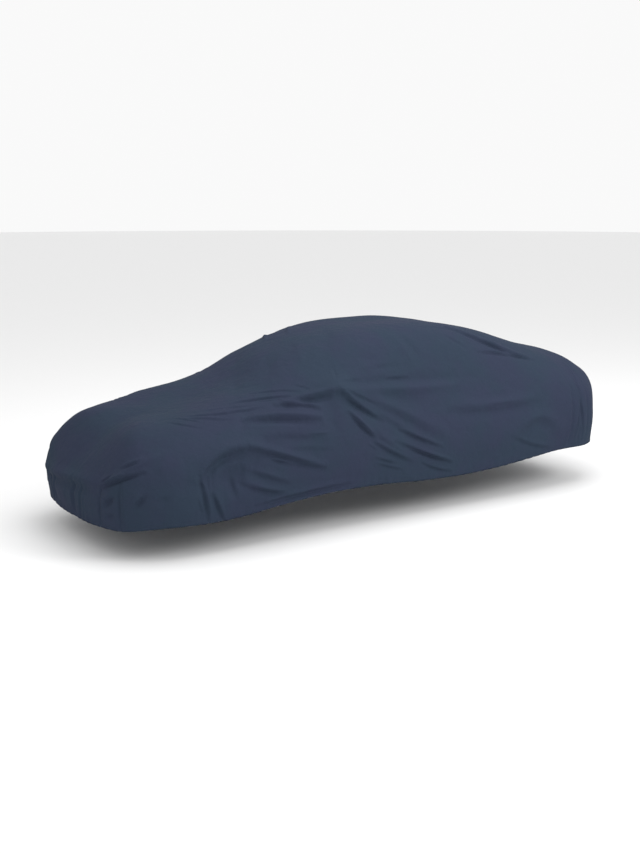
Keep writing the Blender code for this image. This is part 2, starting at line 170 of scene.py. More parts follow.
# Creases too fine for the solid, in the same columns
FINE_FOLDS = (
    ("pinch, start", 0.47, 0.329, 0.60, 0.401, 0.00, 0.008, -0.0085, 0.5, 0.0),
    ("pinch, upper crease", 0.69, 0.475, 0.84, 0.53, 0.00, 0.012, 0.013, -0.8, 0.0),
    ("corner dent, upper", 0.52, 0.178, 0.64, 0.25, 0.00, 0.018, -0.024, 0.4, 0.9),
    ("corner dent, lower", 0.54, 0.102, 0.65, 0.131, -0.01, 0.014, -0.012, 0.4, 0.9),
    ("corner dent, aft", 0.80, 0.179, 0.88, 0.255, 0.00, 0.020, -0.022, 0.4, 0.9),
    ("corner dent, last", 0.96, 0.199, 1.06, 0.236, 0.00, 0.020, -0.012, 0.3, 0.9),
    ("nose fold, thin", 0.27, 0.294, 0.20, 0.04, 0.00, 0.010, -0.004, 0.4, 0.0),
    ("nose fold, far", -0.34, 0.265, -0.38, 0.03, 0.01, 0.016, -0.0085, 0.5, 0.0),
    ("nose corner ridge", 0.04, 0.314, 0.18, 0.526, 0.01, 0.030, 0.004, 0.0, 0.0),
    ("bonnet edge 1", 1.20, 0.918, 1.55, 0.80, 0.00, 0.009, -0.0085, 0.5, 0.9),
    ("bonnet edge 2", 1.24, 0.954, 1.60, 0.863, -0.01, 0.008, -0.0085, 0.5, 1.1),
    ("bonnet edge 3", 1.50, 0.876, 1.92, 0.825, 0.00, 0.009, -0.011, 0.5, 0.8),
    ("bonnet edge 4", 1.43, 0.967, 1.62, 0.941, 0.00, 0.008, -0.005, 0.5, 0.9),
    ("bonnet edge 5", 1.68, 0.987, 2.20, 0.832, 0.015, 0.009, -0.013, 0.5, 1.0),
    ("bonnet edge 6", 1.88, 0.913, 2.12, 0.841, 0.00, 0.007, -0.007, 0.5, 1.0),
    ("bonnet edge 7", 1.88, 1.046, 2.26, 0.859, 0.01, 0.008, -0.007, 0.5, 0.7),
    ("bonnet edge 8", 2.24, 0.951, 2.34, 0.848, 0.00, 0.008, -0.005, 0.5, 0.7),
    ("bonnet edge 9", 1.30, 0.852, 1.66, 0.766, 0.00, 0.010, -0.005, 0.5, 0.9),
    ("arch light line", 1.37, 0.385, 1.37, 0.21, 0.00, 0.008, 0.0055, 0.0, 0.9),
    ("arch gather, thin", 1.26, 0.20, 1.31, 0.04, 0.00, 0.009, -0.007, 0.4, 0.9),
    ("arch gather, last", 1.54, 0.32, 1.565, 0.17, 0.00, 0.020, -0.014, 0.4, 0.9),
    ("arch crease", 1.87, 0.392, 2.06, 0.315, 0.00, 0.009, 0.016, -0.9, 0.6),
    ("arch crease, faint", 2.06, 0.32, 2.33, 0.235, 0.00, 0.010, 0.0055, -0.8, 0.9),
    ("wing upright", 1.79, 0.831, 1.64, 0.637, 0.01, 0.034, -0.010, 0.4, 0.9),
    ("door front, light", 1.74, 0.673, 2.16, 0.57, 0.00, 0.024, 0.0055, 0.0, 0.9),
    ("door front, streak", 2.23, 0.501, 2.39, 0.482, 0.00, 0.009, 0.007, -0.5, 0.8),
    ("door front, low", 2.10, 0.398, 2.44, 0.337, 0.00, 0.018, -0.0055, 0.4, 0.8),
    ("mirror, brow", 2.60, 1.002, 2.56, 0.866, -0.01, 0.010, -0.0055, 0.4, 0.7),
    ("mirror, throat", 2.43, 0.76, 2.47, 0.42, 0.00, 0.070, -0.016, 0.0, 0.8),
    ("belt, top line", 2.55, 0.84, 2.80, 0.855, 0.00, 0.014, -0.0055, 0.4, 0.9),
    ("belt crease", 3.04, 0.85, 3.26, 0.852, 0.00, 0.010, -0.0085, 0.5, 0.9),
    ("belt crease, soft", 2.85, 0.923, 3.22, 0.955, 0.01, 0.020, -0.0055, 0.4, 0.9),
    ("window fall, light", 3.26, 1.237, 3.34, 0.961, 0.01, 0.030, 0.007, 0.4, 0.9),
    ("window fall, dark", 3.36, 1.213, 3.44, 0.986, 0.01, 0.026, -0.0055, 0.4, 0.9),
    ("window dip", 2.78, 1.078, 3.10, 1.013, -0.02, 0.060, -0.0085, 0.3, 0.9),
    ("door fall, edge", 3.20, 0.293, 3.60, 0.149, 0.00, 0.011, 0.010, -0.9, 0.9),
    ("door fall, hem", 3.31, 0.162, 3.63, 0.062, -0.012, 0.010, 0.011, -0.9, 0.9),
    ("door fall, wide", 2.92, 0.728, 3.40, 0.656, -0.02, 0.050, -0.007, 0.0, 0.9),
    ("door crease 1", 2.83, 0.242, 3.03, 0.18, 0.00, 0.010, 0.0085, -0.9, 0.9),
    ("door crease 2", 2.85, 0.19, 3.10, 0.12, 0.00, 0.010, 0.0085, -0.9, 0.9),
    ("pillar crest", 4.10, 1.168, 4.48, 1.033, -0.01, 0.018, 0.007, 0.0, 0.9),
    ("pillar, thin", 3.80, 1.209, 3.96, 1.077, 0.00, 0.014, -0.007, 0.4, 0.9),
    ("pillar, top", 3.74, 1.329, 4.00, 1.295, 0.00, 0.016, -0.0055, 0.4, 0.9),
    ("rear arch fold 1", 4.28, 0.26, 4.78, 0.05, -0.02, 0.016, 0.010, -0.8, 0.9),
    ("rear shoulder crease", 4.00, 0.57, 4.34, 0.55, 0.00, 0.012, 0.0055, -0.8, 0.9),
    ("corner curve", 5.29, 0.83, 5.14, 0.56, -0.01, 0.011, -0.012, 0.4, 0.9),
    ("corner curve, outer", 5.36, 0.80, 5.22, 0.54, -0.01, 0.011, -0.010, 0.4, 0.9),
    ("corner gather, thin 1", 5.03, 0.06, 5.14, 0.61, 0.00, 0.009, -0.012, 0.4, 0.9),
    ("corner gather, thin 2", 5.15, 0.06, 5.12, 0.45, 0.00, 0.009, -0.012, 0.4, 0.9),
    ("corner gather, thin 3", 5.30, 0.05, 5.30, 0.45, 0.00, 0.010, -0.011, 0.4, 0.9),
    ("tail fold, thin", 5.92, 0.04, 5.88, 0.323, 0.00, 0.016, -0.007, 0.4, 0.9),
    ("tail brow", 5.45, 0.639, 6.20, 0.673, 0.02, 0.060, 0.0085, -0.4, 0.9),
    ("arch light line, aft", 1.41, 0.375, 1.40, 0.23, 0.00, 0.008, 0.004, 0.0, 0.9),
    ("door fall, seam", 2.62, 0.765, 2.89, 0.64, 0.00, 0.009, -0.007, 0.5, 0.9),
    ("door fall, foot", 2.76, 0.355, 2.86, 0.292, 0.00, 0.008, 0.0055, -0.5, 0.9),
    ("screen kink, low", -2.72, 1.15, -2.52, 1.42, 0.00, 0.018, 0.014, 0.0, 0.0),
    ("screen kink, high", -2.87, 1.33, -2.67, 1.58, 0.00, 0.018, 0.011, 0.0, 0.0),
    ("bonnet edge 10", 1.03, 0.91, 1.34, 0.742, 0.00, 0.009, -0.006, 0.5, 0.9),
    ("bonnet edge 11", 1.11, 0.968, 1.36, 0.808, 0.00, 0.008, -0.006, 0.5, 0.9),
    ("bonnet edge 12", 1.62, 0.935, 1.86, 0.872, 0.00, 0.007, -0.006, 0.5, 0.9),
    ("screen band, fore", 1.82, 1.17, 1.98, 1.456, 0.00, 0.060, -0.006, 0.0, 0.0),
    ("screen band, far", -2.41, 1.144, -2.05, 1.539, 0.00, 0.060, -0.006, 0.0, 0.0),
    ("screen band, middle", 2.13, 1.155, 2.31, 1.506, 0.00, 0.055, -0.007, 0.0, 0.0),
    ("screen band, top", -2.55, 1.425, -2.40, 1.612, 0.00, 0.055, -0.006, 0.0, 0.0),
    ("screen band, light", 2.35, 1.05, 2.60, 1.526, 0.00, 0.045, 0.005, 0.0, 0.9),
    ("screen band, aft", 2.59, 1.096, 2.88, 1.621, 0.00, 0.050, -0.007, 0.0, 0.9),
    ("arch hollow, deeper", 1.42, 0.32, 1.68, 0.33, 0.00, 0.100, -0.014, 0.0, 0.9),
)

# A twin on the right side lies this much nearer the nose or the tail, in turn, so the order
# of the rows counts. The corner seams are sewn, so folds this close to the nose stay put.
TWIN_SHIFT = 0.05
SEWN_AROUND = 1.0

# How a fold fades out: the points that stand in for its line, the share of its length that
# the fade starts from and how sharply it rises, the place and spread of the rolled cloth in
# fold widths, how much wider the fold's side away from that roll is, and how many widths away
# the fold ends
LINE_STEPS = 25
END_SHARE = 0.06
END_SHARPNESS = 0.6
LIP_PLACE = 2.0
LIP_SPREAD = 1.2
SOFT_SIDE = 1.35
FOLD_REACH = 4.0

# The two corner seams of the left side, as (around, up) at their top and at the hem
CORNER_SEAMS = (
    ((0.47, 0.285), (0.44, 0.04)),
    ((0.69, 0.345), (0.69, 0.04)),
)

# The hem: its turned height, how far the turned cloth stands proud and the height of that
# step, the grid's steps over the hem, and the groove that the row of stitches draws
HEM_HEIGHT = 0.034
HEM_PROUD = 0.0010
HEM_EDGE = 0.004
HEM_STEPS = 10
STITCH_UP = 0.028
GROOVE_DEPTH = 0.0015
GROOVE_WIDTH = 0.004

# The gathers that the elastic draws in the hem, as whole waves round it, so that they close
# on themselves: how they crowd together and spread, how they deepen and go flat, and the
# height above the hem over which they fade
GATHER_WAVES = 151
GATHER_DRIFT = 1.8
GATHER_DRIFT_WAVES = 13
GATHER_SWELL = 0.4
GATHER_SWELL_WAVES = 9
GATHER_SWELL_START = 1.0
GATHER_FADE = 0.075

# Slow unevenness of the whole drape: (waves per metre, depth) of each band, the waves in a
# band, how much longer or shorter than the band each may be, and the seed
UNEVEN_BANDS = ((0.6, 0.0025), (1.4, 0.0020), (3.1, 0.0012), (6.5, 0.0006))
UNEVEN_WAVES = 7
UNEVEN_RANGE = (0.7, 1.3)
UNEVEN_SEED = 4

# Points of the thinned cloth that lie this near its middle plane are taken to lie on it
MIDDLE_GAP = 1e-5

# The stitches: sides and rings of each, its radius before it gets its size, the least and
# most of that size that it has, the seed, how far its middle stands off the cloth as a
# share of the thread, and the darkest and lightest of its colour
STITCH_SEGMENTS = 6
STITCH_RINGS = 4
STITCH_RADIUS = 0.5
STITCH_SCALES = (0.85, 1.10)
STITCH_SEED = 3
STITCH_LIFT = 0.25
THREAD_TONES = (0.7, 1.3)

# The name of the cloth's UV map
UV_NAME = "cloth"

# Finishes, as (roughness, specular level)
CLOTH_FINISH = (0.80, 0.03)
THREAD_FINISH = (0.65, 0.25)
FLOOR_FINISH = (0.90, 0.10)

# The studio: the floor, the point that the lights face, and the size and place of each light
FLOOR_RADIUS = 60.0
FLOOR_SIDES = 128
WHITE = (1.0, 1.0, 1.0, 1.0)
LIGHT_TARGET = (0.0, 0.0, -0.8)
OVERHEAD_SIZE = 6.0
OVERHEAD_PLACE = (0.0, -1.0, 4.5)
SIDE_SIZE = 5.0
SIDE_PLACE = (5.0, -8.0, 5.0)

# Camera in the row frame, from the fit to the photograph
CAMERA_PLACE = (-5.95, -8.25, 1.145)
CAMERA_YAW = math.radians(33.8)
CAMERA_PITCH = math.radians(-11.7)
FOCAL_PIXELS = 1199
IMAGE_SIZE = (640, 854)
IMAGE_CENTRE = (318, 432)
SENSOR_MM = 36.0


class ClothSettings(bpy.types.PropertyGroup):
    """Sizes and colours of the cloth"""

    thickness: FloatProperty(
        name="Thickness", description="Thickness of the cloth", default=0.002,
        min=0.0005, max=0.003, unit="LENGTH",
    )
    grid: FloatProperty(
        name="Grid", description="Spacing of the fine grid that the folds are worked out on",
        default=0.010, min=0.006, max=0.05, unit="LENGTH",
    )
    steps: IntProperty(
        name="Steps", description="Steps of the fine grid from the spine to the hem's top",
        default=160, min=40, max=300,
    )
    triangles: IntProperty(
        name="Triangles", description="Triangles kept in the outer face of the cloth",
        default=95000, min=10000, max=97000,
    )
    gather: FloatProperty(
        name="Gather", description="Depth of the gathers at the hem", default=0.0025,
        min=0.0, max=0.01, unit="LENGTH",
    )
    colour: FloatVectorProperty(
        name="Colour", description="Colour of the cloth where it leans to green-grey",
        default=(0.0267, 0.0390, 0.0612, 1.0), size=4, subtype="COLOR", min=0.0, max=1.0,
    )
    second_colour: FloatVectorProperty(
        name="Second colour", description="Colour of the cloth where it leans to violet",
        default=(0.0292, 0.0366, 0.0631, 1.0), size=4, subtype="COLOR", min=0.0, max=1.0,
    )


class StitchSettings(bpy.types.PropertyGroup):
    """Sizes and colour of the stitching"""

    pitch: FloatProperty(
        name="Pitch", description="Distance from one stitch to the next", default=0.009,
        min=0.004, max=0.03, unit="LENGTH",
    )
    length: FloatProperty(
        name="Length", description="Length of one stitch", default=0.006,
        min=0.002, max=0.02, unit="LENGTH",
    )
    thread: FloatProperty(
        name="Thread", description="Diameter of the thread", default=0.0012,
        min=0.0003, max=0.003, unit="LENGTH",
    )
    row_gap: FloatProperty(
        name="Row gap", description="Distance from a corner seam to each stitched row beside it",
        default=0.009, min=0.002, max=0.03, unit="LENGTH",
    )
    colour: FloatVectorProperty(
        name="Colour", description="Colour of the thread",
        default=(0.015, 0.021, 0.033, 1.0), size=4, subtype="COLOR", min=0.0, max=1.0,
    )


class StageSettings(bpy.types.PropertyGroup):
    """The floor and the strength of the lights"""

    floor_colour: FloatVectorProperty(
        name="Floor", description="Colour of the floor", default=(0.86, 0.86, 0.86, 1.0),
        size=4, subtype="COLOR", min=0.0, max=1.0,
    )
    sky: FloatProperty(
        name="Sky", description="Strength of the light from all round", default=0.95,
        min=0.0, max=3.0,
    )
    overhead: FloatProperty(
        name="Overhead", description="Power of the large light overhead", default=180.0,
        min=0.0, max=5000.0, unit="POWER",
    )
    side: FloatProperty(
        name="Side", description="Power of the light on the left, towards the tail",
        default=440.0, min=0.0, max=5000.0, unit="POWER",
    )


def smooth_curve(knots, values, at):
    """Catmull-Rom interpolation of rows of values over uneven knots."""
    knots = np.asarray(knots, float)
    values = np.asarray(values, float)
    slopes = np.empty_like(values)
    spans = np.diff(knots)[:, None]
    rises = np.diff(values, axis=0) / spans
    slopes[0] = rises[0]
    slopes[-1] = rises[-1]
    slopes[1:-1] = (rises[:-1] * spans[1:] + rises[1:] * spans[:-1]) / (spans[1:] + spans[:-1])
    index = np.clip(np.searchsorted(knots, at, side="right") - 1, 0, len(knots) - 2)
    span = spans[index]
    part = (at - knots[index])[:, None] / span
    square = part * part
    cube = square * part
    return (
        (2 * cube - 3 * square + 1) * values[index]
        + (cube - 2 * square + part) * span * slopes[index]
        + (3 * square - 2 * cube) * values[index + 1]
        + (cube - square) * span * slopes[index + 1]
    )


def ring_of_stations():
    """The whole ring's rows: the left side from nose to tail, then the right side back."""
    left = [row[1:] for row in STATIONS]
    right = [row[:2] + (-row[2],) + row[3:] for row in left[-2:0:-1]]
    return np.array(left + right)


def rays(spacing):
    """Station values at even steps around the ring, an even number of them."""
    rows = ring_of_stations()
    pad = 3
    looped = np.concatenate([rows[-pad:], rows, rows[: pad + 1]])
    steps = np.linalg.norm(np.diff(looped[:, 1:3], axis=0), axis=1)
    knots = np.concatenate([[0.0], np.cumsum(steps)])
    start, end = knots[pad], knots[pad + len(rows)]
    count = 2 * round((end - start) / (2 * spacing))
    at = start + (end - start) * np.arange(count) / count
    return smooth_curve(knots, looped, at)


def spine_height(x):
    """Height of the spine above the ground at each x."""
    rows = np.array(SPINE)
    return smooth_curve(rows[:, 0], rows[:, 1:], x)[:, 0]


def profile_places(length, steps):
    """Distances along a profile from the spine to the hem, closer together in the hem."""
    hem_top = length - HEM_HEIGHT
    return np.concatenate(
        [np.linspace(0.0, hem_top, steps + 1)[:-1], np.linspace(hem_top, length, HEM_STEPS + 1)]
    )


def drape(spacing, steps):
    """Points of the bare drape as [ray, step from spine to hem], heights above the ground."""
    table = dict(zip(STATION_COLUMNS, rays(spacing).T))
    spine_x = table["spine_x"]
    spine_h = spine_height(spine_x)
    spine_rise = spine_height(spine_x + SLOPE_STEP) - spine_height(spine_x - SLOPE_STEP)
    reach = np.stack([table["x"] - spine_x, table["y"]], axis=1)
    length = np.linalg.norm(reach, axis=1)
    way = reach / length[:, None]
    slope = way[:, 0] * spine_rise / (2 * SLOPE_STEP)
    out = np.stack(
        [
            np.zeros_like(length),
            length - table["brow_in"],
            length - table["shoulder_in"],
            length,
            length - table["hem_in"],
        ],
        axis=1,
    )
    height = np.stack(
        [spine_h, table["brow_h"], table["shoulder_h"], table["belly_h"], table["hem_h"]],
        axis=1,
    )
    points = np.empty((len(length), steps + HEM_STEPS + 1, 3))
    for i in range(len(length)):
        profile = np.stack([out[i], height[i]], axis=1)
        # A point past the spine makes the profile cross it at the spine's own slope
        brow_out, brow_height = profile[1]
        past_spine = (-brow_out, brow_height - 2 * brow_out * slope[i])
        looped = np.concatenate([[past_spine], profile])
        knots = np.concatenate([[0.0], np.cumsum(np.linalg.norm(np.diff(looped, axis=0), axis=1))])
        at = knots[1] + profile_places(knots[-1] - knots[1], steps)
        curve = smooth_curve(knots, looped, at)
        points[i, :, 0] = spine_x[i] + way[i, 0] * curve[:, 0]
        points[i, :, 1] = way[i, 1] * curve[:, 0]
        points[i, :, 2] = curve[:, 1]
    return points


def cloth_places(points, spacing):
    """The distances "around" and "up" of every point of the drape, and the ring's length."""
    belly = rays(spacing)[:, 1:3]
    steps = np.linalg.norm(np.roll(belly, -1, axis=0) - belly, axis=1)
    ring = steps.sum()
    around = np.concatenate([[0.0], np.cumsum(steps)[:-1]])
    around = np.where(around > ring / 2, around - ring, around)
    lengths = np.linalg.norm(np.diff(points, axis=1), axis=2)
    up = np.zeros(points.shape[:2])
    up[:, :-1] = np.cumsum(lengths[:, ::-1], axis=1)[:, ::-1]
    return np.broadcast_to(around[:, None], up.shape), up, ring


def folds_of_both_sides():
    """Every fold as a dictionary of its columns, with the right side's twins at the end."""
    folds = [dict(zip(FOLD_COLUMNS, row[1:])) for row in MAIN_FOLDS + FINE_FOLDS]
    twins = []
    for fold in folds:
        if fold["right"] == 0:
            continue
        twin = dict(fold)
        sewn = fold["around_1"] < SEWN_AROUND
        shift = 0.0 if sewn else TWIN_SHIFT * (-1) ** len(twins)
        twin["around_1"] = -fold["around_1"] - shift
        twin["around_2"] = -fold["around_2"] - shift
        twin["depth"] = fold["depth"] * fold["right"]
        twins.append(twin)
    return folds + twins


def fold_line(fold):
    """The bowed line of a fold, as (around, up) points, and the way to its higher side."""
    run = np.array((fold["around_2"] - fold["around_1"], fold["up_2"] - fold["up_1"]))
    side = np.array((-run[1], run[0])) / np.linalg.norm(run)
    if side[1] < 0:
        side = -side
    part = np.linspace(0.0, 1.0, LINE_STEPS)[:, None]
    start = np.array((fold["around_1"], fold["up_1"]))
    return start + run * part + side * 4 * part * (1 - part) * fold["bow"], side


def pushed_by_fold(fold, around, up):
    """How far one fold pushes out each of the places given."""
    line, side = fold_line(fold)
    place = np.stack((around, up), axis=1)
    gap = place[:, None, :] - line[None, :, :]
    step = np.argmin((gap**2).sum(axis=2), axis=1)
    nearest = gap[np.arange(len(place)), step]
    along = np.gradient(line, axis=0)[step]
    along /= np.linalg.norm(along, axis=1)[:, None]
    run_out = (nearest * along).sum(axis=1)
    at_end = (step == 0) | (step == LINE_STEPS - 1)
    past_end = np.where(at_end, run_out, 0.0)
    across = (nearest * side).sum(axis=1) - run_out * (along * side).sum(axis=1)
    part = np.clip(step / (LINE_STEPS - 1), END_SHARE, 1 - END_SHARE)
    fade = np.sin(np.pi * part) ** END_SHARPNESS * np.exp(-((past_end / fold["width"]) ** 2))
    soft = np.where(across * fold["lip"] < 0, SOFT_SIDE, 1.0)
    body = np.exp(-((across / (soft * fold["width"])) ** 2))
    from_lip = across - LIP_PLACE * fold["width"] * np.sign(fold["lip"])
    roll = abs(fold["lip"]) * np.exp(-((from_lip / (LIP_SPREAD * fold["width"])) ** 2))
    return fold["depth"] * fade * (body - roll)


def fold_depth(around, up, folds):
    """How far each point of the cloth is pushed out by the folds near it."""
    pushed = np.zeros_like(around)
    for fold in folds:
        line, _ = fold_line(fold)
        reach = FOLD_REACH * fold["width"]
        low = line.min(axis=0) - reach
        high = line.max(axis=0) + reach
        near = (around > low[0]) & (around < high[0]) & (up > low[1]) & (up < high[1])
        pushed[near] += pushed_by_fold(fold, around[near], up[near])
    return pushed


def mirror_lift(around, up):
    """How far each point of the cloth is pushed out by the mirror bumps."""
    pushed = np.zeros_like(around)
    for row in MIRRORS:
        peg = dict(zip(MIRROR_COLUMNS, row))
        far = np.hypot((around - peg["around"]) / peg["length"], (up - peg["up"]) / peg["height"])
        pushed += peg["lift"] * np.exp(-(far**MIRROR_SHARPNESS))
    return pushed


def hem_shape(around, up, ring, gather):
    """The turned hem, the groove of its stitches and the gathers of its elastic."""
    turn = HEM_PROUD * np.clip((HEM_HEIGHT - up) / HEM_EDGE, 0.0, 1.0)
    groove = -GROOVE_DEPTH * np.exp(-(((up - STITCH_UP) / GROOVE_WIDTH) ** 2))
    angle = 2 * np.pi * around / ring
    wave = np.sin(GATHER_WAVES * angle + GATHER_DRIFT * np.sin(GATHER_DRIFT_WAVES * angle))
    swing = np.sin(GATHER_SWELL_WAVES * angle + GATHER_SWELL_START)
    swell = 1 - GATHER_SWELL + GATHER_SWELL * swing
    return turn + groove + gather * swell * wave * np.exp(-up / GATHER_FADE)


def unevenness(points):
    """A slow uneven swell of the cloth, from sine waves that cross it in all directions."""
    rng = np.random.default_rng(UNEVEN_SEED)
    swell = np.zeros(points.shape[:2])
    for waves, depth in UNEVEN_BANDS:
        for _ in range(UNEVEN_WAVES):
            way = rng.normal(size=3)
            way *= 2 * np.pi * waves * rng.uniform(*UNEVEN_RANGE) / np.linalg.norm(way)
            wave = np.sin(points @ way + rng.uniform(0, 2 * np.pi))
            swell += depth / math.sqrt(UNEVEN_WAVES) * wave
    return swell


def across_spine(count):
    """For each ray, the ray on the other side that meets it at the spine."""
    return -np.arange(count) % count


def outward(points):
    """Unit normals of the drape. A spine point takes those of the two rays that meet there."""
    around = np.roll(points, -1, axis=0) - np.roll(points, 1, axis=0)
    down = np.gradient(points, axis=1)
    normals = np.cross(down, around)
    normals[:, 0] = normals[:, 1] + normals[across_spine(len(points)), 1]
    return normals / np.linalg.norm(normals, axis=2)[:, :, None]


def folded(settings):
    """The dressed drape in the row frame, "around" and "up" of its points, and its ring."""
    points = drape(settings.grid, settings.steps)
    around, up, ring = cloth_places(points, settings.grid)
    pushed = mirror_lift(around, up) + fold_depth(around, up, folds_of_both_sides())
    pushed += unevenness(points) + hem_shape(around, up, ring, settings.gather)
    pushed[:, 0] = 0.5 * (pushed[:, 0] + pushed[across_spine(len(pushed)), 0])
    points += outward(points) * pushed[:, :, None]
    points -= (ROOF_TOP_X, 0.0, ROOF_TOP_HEIGHT - settings.thickness)
    return points, around, up, ring


def sheet_mesh(name, points):
    """A quad mesh of the rays, joined along the spine."""
    mesh = bpy.data.meshes.new(name)
    grid = bmesh.new()
    count, steps = points.shape[:2]
    partners = across_spine(count)
    verts = []
    for i in range(count):
        partner = partners[i]
        spine = verts[partner][0] if partner < i else grid.verts.new(points[i, 0])
        verts.append([spine] + [grid.verts.new(point) for point in points[i, 1:]])
    for i in range(count):
        here, ahead = verts[i], verts[(i + 1) % count]
        for j in range(steps - 1):
            grid.faces.new((here[j], here[j + 1], ahead[j + 1], ahead[j]))
    bmesh.ops.recalc_face_normals(grid, faces=grid.faces)
    grid.to_mesh(mesh)
    grid.free()
    return mesh


def evaluated_mesh(obj):
    """A plain mesh of the object as its modifiers leave it."""
    graph = bpy.context.evaluated_depsgraph_get()
    return bpy.data.meshes.new_from_object(obj.evaluated_get(graph))


def thinned(mesh, triangles):
    """The mesh with fewer triangles where it is smooth, split along its middle plane."""
    source = bpy.data.objects.new("fine_sheet", mesh)
    bpy.context.scene.collection.objects.link(source)
    modifier = source.modifiers.new("thin_out", "DECIMATE")
    modifier.ratio = triangles / (2 * len(mesh.polygons))
    result = evaluated_mesh(source)
    bpy.data.objects.remove(source)
    bpy.data.meshes.remove(mesh)
    grid = bmesh.new()
    grid.from_mesh(result)
    everything = grid.verts[:] + grid.edges[:] + grid.faces[:]
    bmesh.ops.bisect_plane(
        grid, geom=everything, dist=MIDDLE_GAP, plane_co=(0, 0, 0), plane_no=(0, 1, 0)
    )
    bmesh.ops.triangulate(grid, faces=grid.faces)
    grid.to_mesh(result)
    grid.free()
    return result


def lay_uv(mesh, points, around, up):
    """A UV map in metres of cloth, so that the weave follows the surface."""
    places = points.reshape(-1, 3)
    tree = kdtree.KDTree(len(places))
    for index, place in enumerate(places):
        tree.insert(place, index)
    tree.balance()
    found = np.array([tree.find(vertex.co)[1] for vertex in mesh.vertices])
    # From the nearest grid point, the rest of the way is measured along the grid's own lines
    per_around = (np.roll(points, -1, axis=0) - np.roll(points, 1, axis=0)) / (
        2 * abs(around[1, 0] - around[0, 0])
    )
    per_up = np.gradient(points, axis=1) / np.gradient(up, axis=1)[:, :, None]
    per_around = per_around.reshape(-1, 3)[found]
    per_up = per_up.reshape(-1, 3)[found]
    spots = np.empty(len(mesh.vertices) * 3)
    mesh.vertices.foreach_get("co", spots)
    rest = spots.reshape(-1, 3) - places[found]
    aa = (per_around**2).sum(axis=1)
    uu = (per_up**2).sum(axis=1)
    au = (per_around * per_up).sum(axis=1)
    ra = (rest * per_around).sum(axis=1)
    ru = (rest * per_up).sum(axis=1)
    spread = aa * uu - au**2
    far = around.reshape(-1)[found] + (ra * uu - ru * au) / spread
    high = up.reshape(-1)[found] + (ru * aa - ra * au) / spread
    layer = mesh.uv_layers.new(name=UV_NAME)
    for face in mesh.polygons:
        side = 1.0 if face.center.y < 0 else -1.0
        for loop in face.loop_indices:
            vertex = mesh.loops[loop].vertex_index
            layer.data[loop].uv = (side * abs(far[vertex]), high[vertex])


def new_node(tree, kind, **inputs):
    """A shader node with its inputs set by name."""
    node = tree.nodes.new(kind)
    for name, value in inputs.items():
        node.inputs[name.replace("_", " ")].default_value = value
    return node


def new_material(name, finish):
    """A material with its roughness and specular level set, and its tree and shader."""
    material = bpy.data.materials.new(name)
    material.use_nodes = True
    tree = material.node_tree
    shader = tree.nodes["Principled BSDF"]
    shader.inputs["Roughness"].default_value = finish[0]
    shader.inputs["Specular IOR Level"].default_value = finish[1]
    return material, tree, shader


def dyed(tree, place, settings):
    """The cloth's colour: two close tones in slow patches, with a fine fleck."""
    dye = new_node(tree, "ShaderNodeTexNoise", Scale=2.2, Detail=3.0, Roughness=0.6)
    tree.links.new(place.outputs["Object"], dye.inputs["Vector"])
    spread = new_node(tree, "ShaderNodeMapRange", From_Min=0.38, From_Max=0.62)
    tree.links.new(dye.outputs["Fac"], spread.inputs["Value"])
    blend = tree.nodes.new("ShaderNodeMix")
    blend.data_type = "RGBA"
    blend.inputs["A"].default_value = settings.colour
    blend.inputs["B"].default_value = settings.second_colour
    tree.links.new(spread.outputs["Result"], blend.inputs["Factor"])

    fleck = new_node(tree, "ShaderNodeTexNoise", Scale=260.0, Detail=2.0, Roughness=0.6)
    tree.links.new(place.outputs["Object"], fleck.inputs["Vector"])
    tone = new_node(tree, "ShaderNodeMapRange", To_Min=0.86, To_Max=1.14)
    tree.links.new(fleck.outputs["Fac"], tone.inputs["Value"])
    shade = tree.nodes.new("ShaderNodeVectorMath")
    shade.operation = "SCALE"
    tree.links.new(blend.outputs["Result"], shade.inputs["Vector"])
    tree.links.new(tone.outputs["Result"], shade.inputs["Scale"])
    return shade.outputs["Vector"]


def knitted(tree):
    """The bump of a fine knit, its ribs and rows laid on the cloth's own UV map."""
    cloth = tree.nodes.new("ShaderNodeUVMap")
    cloth.uv_map = UV_NAME
    ribs = new_node(tree, "ShaderNodeTexWave", Scale=100.0, Distortion=0.6, Detail=1.0)
    ribs.bands_direction = "X"
    tree.links.new(cloth.outputs["UV"], ribs.inputs["Vector"])
    rows = new_node(tree, "ShaderNodeTexWave", Scale=75.0, Distortion=0.6, Detail=1.0)
    rows.bands_direction = "Y"
    tree.links.new(cloth.outputs["UV"], rows.inputs["Vector"])
    knit = tree.nodes.new("ShaderNodeMath")
    knit.operation = "MULTIPLY"
    tree.links.new(ribs.outputs["Fac"], knit.inputs[0])
    tree.links.new(rows.outputs["Fac"], knit.inputs[1])
    bump = new_node(tree, "ShaderNodeBump", Strength=0.5, Distance=0.0004)
    tree.links.new(knit.outputs["Value"], bump.inputs["Height"])
    return bump.outputs["Normal"]


def crumpled(tree, place, knit):
    """The bump of small crumples, over that of the knit."""
    crumple = new_node(
        tree, "ShaderNodeTexNoise", Scale=12.0, Detail=2.5, Roughness=0.5, Distortion=0.3
    )
    tree.links.new(place.outputs["Object"], crumple.inputs["Vector"])
    bump = new_node(tree, "ShaderNodeBump", Strength=0.65, Distance=0.014)
    tree.links.new(crumple.outputs["Fac"], bump.inputs["Height"])
    tree.links.new(knit, bump.inputs["Normal"])
    return bump.outputs["Normal"]


def cloth_material(settings):
    """Matt slate-navy stretch cloth: uneven dye, a fine knit and small crumples."""
    material, tree, shader = new_material("slate_stretch_cloth", CLOTH_FINISH)
    place = tree.nodes.new("ShaderNodeTexCoord")
    tree.links.new(dyed(tree, place, settings), shader.inputs["Base Color"])
    tree.links.new(crumpled(tree, place, knitted(tree)), shader.inputs["Normal"])
    return material


